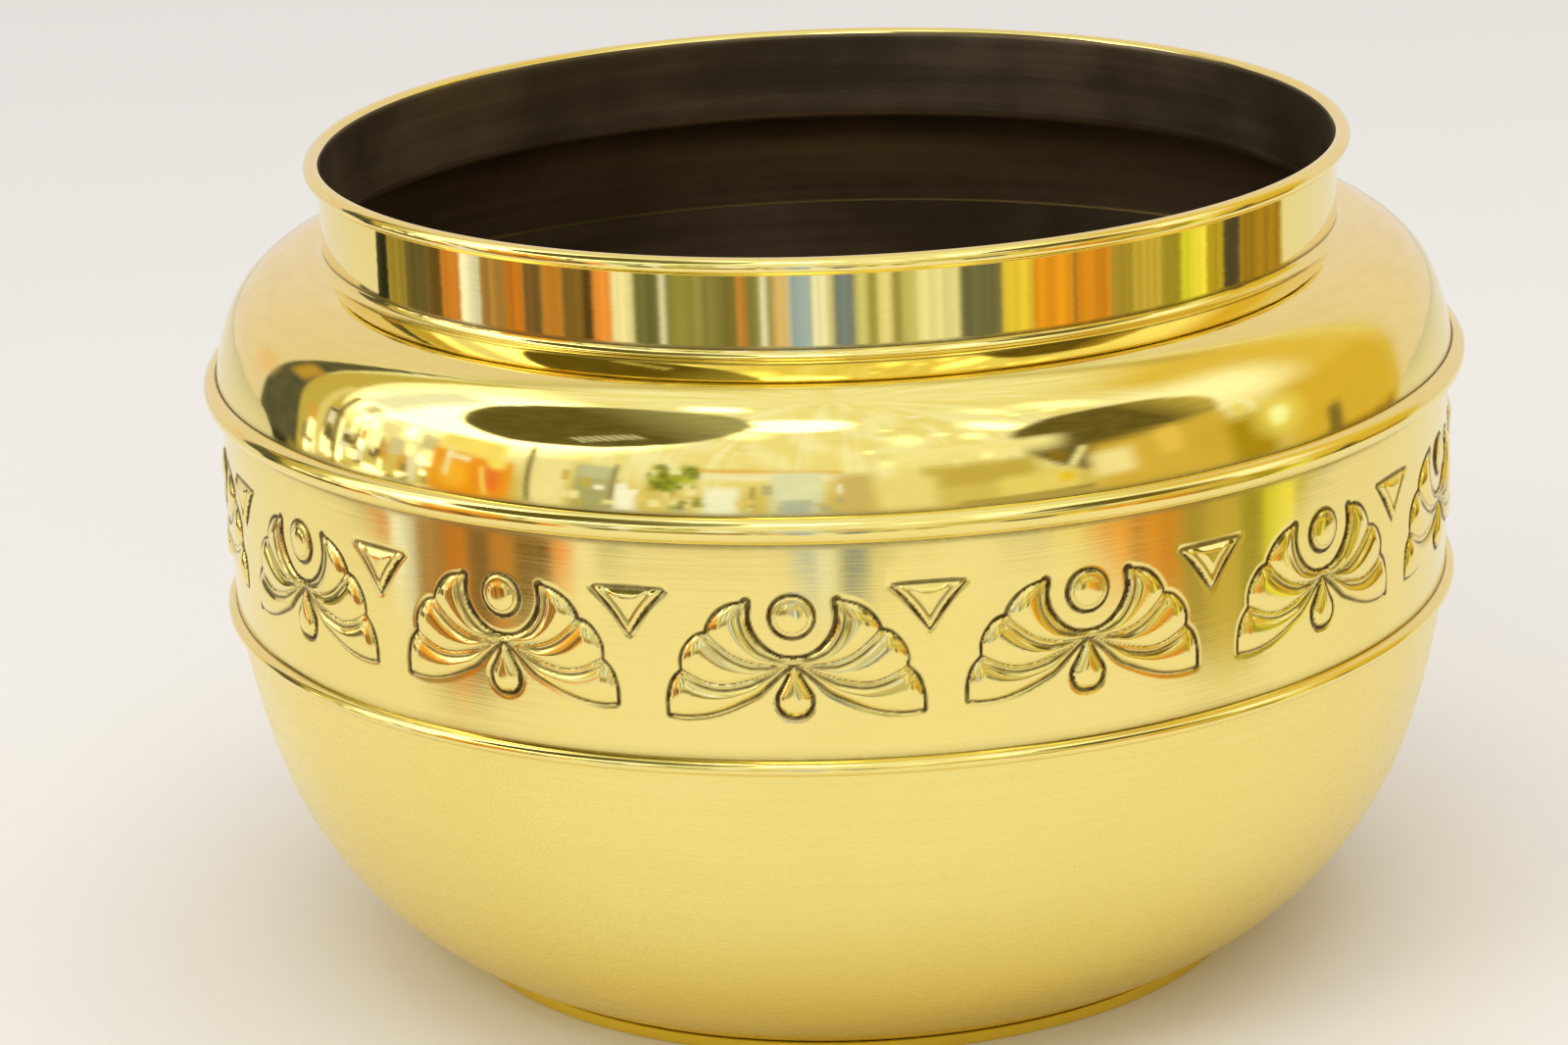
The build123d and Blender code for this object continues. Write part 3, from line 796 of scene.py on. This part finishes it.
near_edge, far_edge = [], []
for i in range(SIDES):
    azimuth = 360 * i / SIDES
    angle = math.radians(azimuth)
    x, y, reach = math.sin(angle), -math.cos(angle), edge_distance(azimuth)
    near_edge.append((reach * x, reach * y, 0))
    far_edge.append((FAR * x, FAR * y, 0))
near_floor = floor_part("near_floor", near_edge, [list(range(SIDES))])
far_floor = floor_part("far_floor", near_edge + far_edge,
                       [[i, SIDES + i, SIDES + (i + 1) % SIDES, (i + 1) % SIDES] for i in range(SIDES)])
far_floor.visible_glossy = False


def lamp(name, place, target, size, power):
    """Soft lamp that lights the floor, and that the brass doesn't mirror."""
    data = bpy.data.lights.new(name, "AREA")
    data.shape, (data.size, data.size_y) = "RECTANGLE", size
    data.energy, data.color = power, LAMP_WHITE
    made = linked(name, data)
    made.location = place
    made.rotation_euler = (Vector(target) - Vector(place)).to_track_quat("-Z", "Y").to_euler()
    made.visible_glossy = False


lamp("overhead", (0.2, -0.3, 2.4), (0, 0, 0.1), (2.6, 2.2), 27)
lamp("left_front", (-1.5, -1.6, 1.9), (0, 0, 0.1), (1.0, 1.0), 10)

# What polished brass mirrors: a soft room painted on a large sphere that only reflections see.
# A colour here is the display colour that brass shows where it mirrors that place, or the name
# of a light, and AIR fills the rest. Each shape has a kind, an azimuth (0 is the front, 90 the
# right), an elevation, a width, a height, a softness, a colour and a tilt; angles are in degrees.

BRASS_TINT = (0.93, 0.78, 0.27)
GLARE, BRIGHT, WINDOW, AIR = "glare", "bright", "window", "air"
LIGHTS = {GLARE: (3.4, 3.4, 3.3), BRIGHT: (1.8, 1.8, 1.75), WINDOW: (1.2, 1.25, 1.4),
          AIR: (0.85, 0.765, 0.78)}
CREAM, OLIVE = (244, 226, 140), (196, 168, 66)
ORANGE, BROWN, SHADE = (240, 152, 24), (126, 96, 36), (92, 80, 32)


def radiance(colour):
    """Light that the surroundings send out for a display colour or for a named light."""
    if colour in LIGHTS:
        return np.array(LIGHTS[colour])
    return np.array([(level / 255) ** 2.2 / tint for level, tint in zip(colour, BRASS_TINT)])


BOX, ROUND = "box", "round"
BEHIND = [
    (BOX, 104, 26, 34, 74, 16, (224, 184, 62)),
    (BOX, 104, 6, 32, 28, 12, (216, 172, 48)),
    (BOX, 81, 33, 28, 24, 18, WINDOW),
    (BOX, -88, 36, 28, 50, 10, BRIGHT),
    (ROUND, -66, 40, 50, 44, 10, GLARE),
    (BOX, -88, 26, 22, 16, 6, GLARE, 12),
    (BOX, -95, 36, 10, 26, 5, (246, 236, 170)),
    (ROUND, -12, 59, 17, 14, 3, GLARE),
    (ROUND, -56, 74, 8, 6, 3, GLARE),
    (ROUND, -20, 49, 6, 8, 5, BRIGHT, 20),
    (ROUND, 14, 39, 4, 8, 4, BRIGHT),
    (ROUND, 34, 45, 5, 11, 4, GLARE, 20),
    (ROUND, 27, 37, 3, 5, 3, BRIGHT),
    (ROUND, 58, 55, 6, 12, 4, BRIGHT, 20),
    (ROUND, 42, 60, 3, 8, 3, BRIGHT, 10),
]
IN_FRONT = [
    (BOX, -119, 20, 6, 9, 4, (188, 142, 46)),
    (ROUND, -130, 9, 9, 11, 6, (234, 190, 108)),
    (BOX, -105, 10, 2.5, 34, 2, (226, 202, 104), 4),
    (BOX, -100, 8, 1.6, 30, 1.5, (120, 104, 40), 3),
    (BOX, -67, 4, 17, 18, 2, ORANGE),
    (ROUND, -70.5, 5, 6, 10, 3, (250, 176, 44)),
    (ROUND, -63, 6, 5, 11, 3, (236, 116, 44)),
    (BOX, -68, 16, 14, 7, 3, (252, 222, 100)),
    (BOX, -72, 9, 1.2, 10, 1, CREAM),
    (BOX, -64, 4, 1.0, 12, 1, (250, 214, 84), 8),
    (BOX, -70, 11, 5, 1.4, 1, (252, 240, 170)),
    (ROUND, -62, 12, 4, 4, 2, (252, 226, 96)),
    (BOX, -52, 8, 8, 20, 3, CREAM),
    (BOX, -55.5, 10, 1.1, 23, 1, (112, 92, 42), 3),
    (BOX, -43, 8, 7, 18, 2, (170, 164, 98)),
    (BOX, -43, 15, 6, 5, 2, (192, 190, 132)),
    (BOX, -37, 6, 4, 12, 2, (252, 246, 196)),
    (BOX, -39.4, 8, 0.8, 22, 1, (110, 98, 44)),
    (BOX, -20, 6, 6, 13, 2, (246, 240, 186)),
    (BOX, -14.6, 6, 0.8, 14, 1, (150, 136, 70)),
    (BOX, -12, 19.5, 24, 1.4, 1, (226, 172, 72)),
    (BOX, -12, 17, 26, 2.4, 2, (246, 232, 168)),
    (BOX, -7, 9, 9, 20, 3, (224, 222, 164)),
    (BOX, -7, 4, 6, 8, 3, (178, 182, 146)),
    (BOX, 3, 8, 7, 20, 4, (206, 176, 92)),
    (BOX, 25, 25, 30, 8, 6, (246, 228, 136)),
    (BOX, 25, 14, 20, 9, 4, OLIVE),
    (BOX, 12, 8, 10, 14, 4, (236, 214, 118)),
    (BOX, 35, 7, 14, 8, 3, (232, 206, 96)),
    (BOX, 33, 2.6, 24, 1.0, 0.8, BROWN),
    (BOX, 36, 0.4, 26, 0.8, 0.8, BROWN),
    (ROUND, 39.5, 16.5, 3, 5, 2, (132, 104, 26)),
    (ROUND, 40, 8, 3, 3, 2, (232, 190, 24)),
    (BOX, 43, 15, 1.6, 8, 1.5, (240, 222, 140), -25),
    (BOX, 60, 8, 28, 20, 5, (212, 172, 58)),
    (BOX, 49, 10, 8, 9, 4, (244, 222, 134)),
    (BOX, 61, 13, 5, 9, 3, (232, 190, 70)),
    (ROUND, 70, 8, 12, 14, 6, (206, 168, 50)),
    (BOX, 77, 10, 2, 14, 2, (236, 212, 96)),
    (BOX, 78, 4, 10, 16, 5, (168, 134, 16)),
    (ROUND, 85, 8, 11, 11, 8, (234, 208, 80)),
    (ROUND, 85, 8, 4.5, 5.5, 3, (255, 252, 150)),
    (BOX, 98.5, -2, 4, 10, 3, (124, 100, 38)),
]
# Low upright bars that the collar mirrors: the azimuth where each ends, and its display colour
BARS_START = -124
BARS = [
    (-114, 44, 42, 24), (-107, 154, 128, 44), (-99, 98, 84, 40), (-94, 104, 76, 30),
    (-88, 204, 122, 38), (-82, 242, 232, 172), (-75, 172, 124, 54), (-70, 194, 112, 30),
    (-65, 118, 86, 42), (-60, 176, 112, 38), (-55, 122, 88, 34), (-52.5, 78, 52, 22),
    (-48, 236, 142, 52), (-43, 236, 218, 142), (-37, 108, 104, 50), (-35.6, 222, 216, 160),
    (-29, 136, 128, 54), (-23, 138, 126, 60), (-20, 112, 100, 44), (-18, 196, 124, 44),
    (-15, 140, 130, 62), (-13.6, 242, 234, 176), (-12.4, 150, 134, 66), (-9, 208, 170, 96),
    (-4, 156, 170, 156), (-0.7, 236, 226, 160), (0.7, 196, 182, 112), (5, 112, 120, 106),
    (8, 196, 184, 98), (10, 146, 136, 58), (13, 224, 206, 118), (15, 150, 134, 56),
    (18.4, 198, 182, 94), (27.7, 242, 226, 138), (37, 108, 102, 62), (44, 226, 190, 52),
    (53.6, 228, 146, 30), (54.4, 112, 66, 20), (63, 218, 138, 30), (69, 168, 140, 46),
    (76, 202, 168, 58), (82, 150, 130, 34), (85, 214, 200, 40), (90, 236, 214, 60),
    (95.6, 176, 146, 30), (101.4, 66, 58, 38), (118, 158, 116, 26),
]


# Tall leaning wedges: azimuth, half the width, top, lean and colour
WEDGES = [(-106, 9, 66, -12, OLIVE), (-118.5, 7.5, 54, -4, (84, 80, 48))]
# Where the bright part overhead begins, in degrees across the zenith and in front of it
EDGE_ACROSS, EDGE_BEFORE = [-100, -82, -34, 0, 32, 82, 100], [-68, -56, -23, -20, -27, -48, -58]
ROOM_COLUMNS, ROOM_ROWS, BAR_ROWS = 1080, 541, 85
ROOM_RADIUS, ROOM_CENTRE = 3.0, (0, 0, 0.12)


def soft_mask(value, half, soft):
    """1 inside a half width, falling smoothly to 0 over the softness."""
    t = np.clip((half + soft / 2 - np.abs(value)) / soft, 0, 1)
    return t * t * (3 - 2 * t)


def towards(azimuth, elevation):
    """Direction of an azimuth and an elevation in degrees."""
    az, el = np.radians(azimuth), np.radians(elevation)
    return np.stack([np.sin(az) * np.cos(el), -np.cos(az) * np.cos(el), np.sin(el)], -1)


def show_room(direction, field):
    """Glowing sphere of the painted colours, which only reflections see."""
    rows, columns = direction.shape[:2]
    points = direction * ROOM_RADIUS + ROOM_CENTRE
    faces = grid_faces(rows, columns, False)[:, [0, 3, 2, 1]]
    mesh = bpy.data.meshes.new("mirrored_room")
    mesh.from_pydata(points.reshape(-1, 3).tolist(), [], faces.tolist())
    glow = mesh.attributes.new("glow", "FLOAT_COLOR", "POINT")
    levels = np.concatenate([field, np.ones((rows, columns, 1))], -1)
    glow.data.foreach_set("color", levels.astype(np.float32).ravel())
    material, nodes = new_material("mirrored_room")
    clutter = nodes.ramp(nodes.noise(nodes.place(), 5.0, 3.0, 0.5), 0.35, 0.7, 0.0, 0.10)
    colour = nodes.blend(clutter, nodes.held("glow", "Color"), (0.5, 0.42, 0.22))
    light = nodes.add("ShaderNodeEmission", Color=colour)
    nodes.add("ShaderNodeOutputMaterial", Surface=light.outputs[0])
    material.cycles.emission_sampling = "NONE"
    mesh.materials.append(material)
    made = linked("mirrored_room", mesh)
    made.visible_camera = made.visible_diffuse = made.visible_shadow = False
    made.visible_transmission = made.visible_volume_scatter = False


def paint_room():
    """Paint the shapes above over each other, on a grid of azimuths and elevations."""
    azimuth = np.linspace(-180, 180, ROOM_COLUMNS, endpoint=False)
    elevation = np.union1d(np.linspace(-90, 90, ROOM_ROWS), np.linspace(-18, -11, BAR_ROWS))
    a, e = np.meshgrid(azimuth, elevation)
    rng = np.random.default_rng(ROOM_SEED)
    direction = towards(a, e)
    field = np.zeros(direction.shape) + radiance(AIR)

    def lay(mask, light):
        field[:] += mask[..., None] * (light - field)

    def paint(mask, colour):
        lay(mask, radiance(colour))

    def uneven(value, low, high, count):
        """Random levels between 0 and 1 at even steps of a value, joined by straight lines."""
        return np.interp(value, np.linspace(low, high, count), rng.random(count))

    def seen_from(az, el, tilt=0):
        """Angles across and up from a direction."""
        middle, right = towards(az, el), towards(az + 90, 0)
        upward = np.cross(middle, right)
        ahead = direction @ middle
        x = np.degrees(np.arctan2(direction @ right, ahead))
        y = np.degrees(np.arctan2(direction @ upward, np.hypot(direction @ right, ahead)))
        c, s = math.cos(math.radians(tilt)), math.sin(math.radians(tilt))
        return x * c + y * s, y * c - x * s

    def shape(kind, az, el, width, height, soft, colour, tilt=0):
        x, y = seen_from(az, el, tilt)
        if kind == BOX:
            paint(soft_mask(x, width / 2, soft) * soft_mask(y, height / 2, soft), colour)
        else:
            paint(soft_mask(np.hypot(x, y * width / height), width / 2, soft), colour)

    def scatter(count, azimuths, elevations, sizes, colours, soft=0.8):
        """Small upright patches, at random between two azimuths, elevations and sizes."""
        for _ in range(count):
            width, height = rng.uniform(*sizes), rng.uniform(*sizes) * 1.6
            colour = colours[rng.integers(len(colours))]
            shape(BOX, rng.uniform(*azimuths), rng.uniform(*elevations), width, height, soft, colour)

    def umbrella(az, el, width, height, dark, lit, lit_side, soft):
        """Eight-sided shade, lit towards one side."""
        x, y = seen_from(az, el, -az)
        x, y = x / (width / 2), y / (height / 2)
        flat_sided = np.maximum(np.maximum(np.abs(x), np.abs(y)), (np.abs(x) + np.abs(y)) / 1.36)
        reach = 0.3 * flat_sided + 0.7 * np.hypot(x, y)
        share = np.clip((x * lit_side[0] + y * lit_side[1] - lit_side[2]) / 0.6, 0, 1)[..., None]
        folds = 1 + 0.05 * np.sin(np.arctan2(y, x) * 16)[..., None]
        dark, lit = radiance(dark), radiance(lit)
        lay(soft_mask(reach, 1, soft), (dark + share * (lit - dark)) * folds)

    # the bright part overhead, with streaks and patches
    across_zenith = (90 - e) * np.sin(np.radians(a))
    before_zenith = (90 - e) * np.cos(np.radians(a))
    edge = np.interp(across_zenith, EDGE_ACROSS, EDGE_BEFORE)
    front = np.clip((before_zenith - edge) / 3 + 0.5, 0, 1)
    ceiling = front * soft_mask(e - 56, 44, 10)
    fine, broad = uneven(a, -180, 180, 361), uneven(a, -180, 180, 61)
    streaks = np.clip(0.7 * fine + 0.4 * broad + 0.25 * np.sin(e / 5 + 14 * broad), 0, 1)
    paint(front, (214, 186, 84))
    paint(ceiling, (238, 217, 118))
    paint(ceiling * soft_mask(streaks - 1, 0.42, 0.6), (248, 234, 152))
    scatter(60, (-22, 70), (20, 66), (0.7, 2.4),
            [BRIGHT, CREAM, (250, 236, 160), (226, 204, 104)], 1.6)

    # lights, wedges and the two umbrellas, with the slats under the left one
    for item in BEHIND:
        shape(*item)
    for az, half, top, lean, colour in WEDGES:
        share = np.clip(e / top, 0, 1)
        across = soft_mask(a - az - lean * share, half * (1 - share) + 0.01, 1.6)
        paint(across * soft_mask(e - top / 2, top / 2 + 12, 2), colour)
    umbrella(-55.5, 47, 47, 39, SHADE, (156, 146, 78), (1, 0, 0.2), 0.08)
    umbrella(54.5, 26, 38, 39, (98, 82, 30), (196, 166, 64), (0.4, 0.9, 0.35), 0.14)
    x, y = seen_from(-55.5, 47, 55.5)
    comb = 0.5 + 0.5 * np.sin(x * 2 * math.pi / 1.6)
    paint(soft_mask(x + 3.5, 6.5, 1) * soft_mask(y + 11, 2.2, 1.5) * comb, (220, 208, 140))
    crease = soft_mask(before_zenith + 19, 2.5, 9) * soft_mask(across_zenith, 33, 12)
    paint(0.75 * crease, (176, 150, 64))

    # clutter at eye level, then what stands in front of it
    scatter(80, (-108, -74), (-8, 10), (0.8, 4.0),
            [(96, 84, 46), (150, 132, 72), BROWN, (216, 160, 60), CREAM, GLARE, BRIGHT,
             (236, 222, 160), GLARE])
    scatter(26, (-96, -74), (6, 20), (1.0, 4.0), [GLARE, CREAM, BRIGHT, (214, 196, 130)], 1.5)
    for item in IN_FRONT:
        shape(*item)
    scatter(40, (-50, 2), (-4, 14), (0.5, 2.4),
            [CREAM, OLIVE, (252, 244, 190), (180, 172, 110), (228, 200, 104)])
    scatter(44, (-34, -25), (11, 20), (0.7, 2.0),
            [(150, 156, 38), (120, 128, 26), (186, 184, 60), (98, 106, 20)])
    scatter(20, (-29, -23), (2, 11), (0.6, 1.8), [(146, 152, 60), (112, 118, 34), CREAM])

    # the low bars, with ragged edges, slats and flecks
    low = soft_mask(e + 19, 14, 3)
    ragged = a + 0.30 * np.sin(e * 8 + 18 * broad) + 0.18 * np.sin(e * 21 + 40 * fine)
    start = BARS_START
    for end, *colour in BARS:
        paint(soft_mask(ragged - (start + end) / 2, (end - start) / 2, 0.7) * low, tuple(colour))
        start = end
    slats = uneven(ragged, -181, 181, 547)
    flecks = uneven(ragged * 2.3 + e * 31, -3400, 3400, 9000)
    shade = 1 + (0.55 * (slats - 0.5) + 0.22 * (flecks - 0.5)) * low * front
    show_room(direction, field * shade[..., None])


paint_room()
lamp("front_fill", (0.0, -2.4, 1.3), (0, -0.35, 0), (2.0, 0.9), 9)

scene = bpy.context.scene
world = scene.world = bpy.data.worlds.new("studio")
world.use_nodes = True
nodes = Nodes(world.node_tree)
seen = nodes.add("ShaderNodeLightPath")
shown = nodes.blend(seen.outputs["Is Camera Ray"], DAYLIGHT, WALL)
background = nodes.add("ShaderNodeBackground", Color=shown)
nodes.add("ShaderNodeOutputWorld", Surface=background.outputs[0])

# ---- camera ----

PITCH, ROLL, YAW = (math.radians(angle) for angle in (17.203, -2.158, -0.671))
CAMERA_PLACE, LENS, SENSOR = (0, -1.1347, 0.4503), 112.0, 36.0

camera_data = bpy.data.cameras.new("camera")
camera_data.lens, camera_data.sensor_width = LENS, SENSOR
camera = linked("camera", camera_data)
level_right = Vector((math.cos(YAW), -math.sin(YAW), 0))
level_ahead = Vector((math.sin(YAW), math.cos(YAW), 0))
ahead = math.cos(PITCH) * level_ahead - Vector((0, 0, math.sin(PITCH)))
above = math.sin(PITCH) * level_ahead + Vector((0, 0, math.cos(PITCH)))
x_axis = math.cos(ROLL) * level_right + math.sin(ROLL) * above
y_axis = -math.sin(ROLL) * level_right + math.cos(ROLL) * above
turn = Matrix((x_axis, y_axis, -ahead)).transposed()
camera.matrix_world = Matrix.Translation(CAMERA_PLACE) @ turn.to_4x4()
scene.camera = camera
scene.view_settings.view_transform = "Standard"
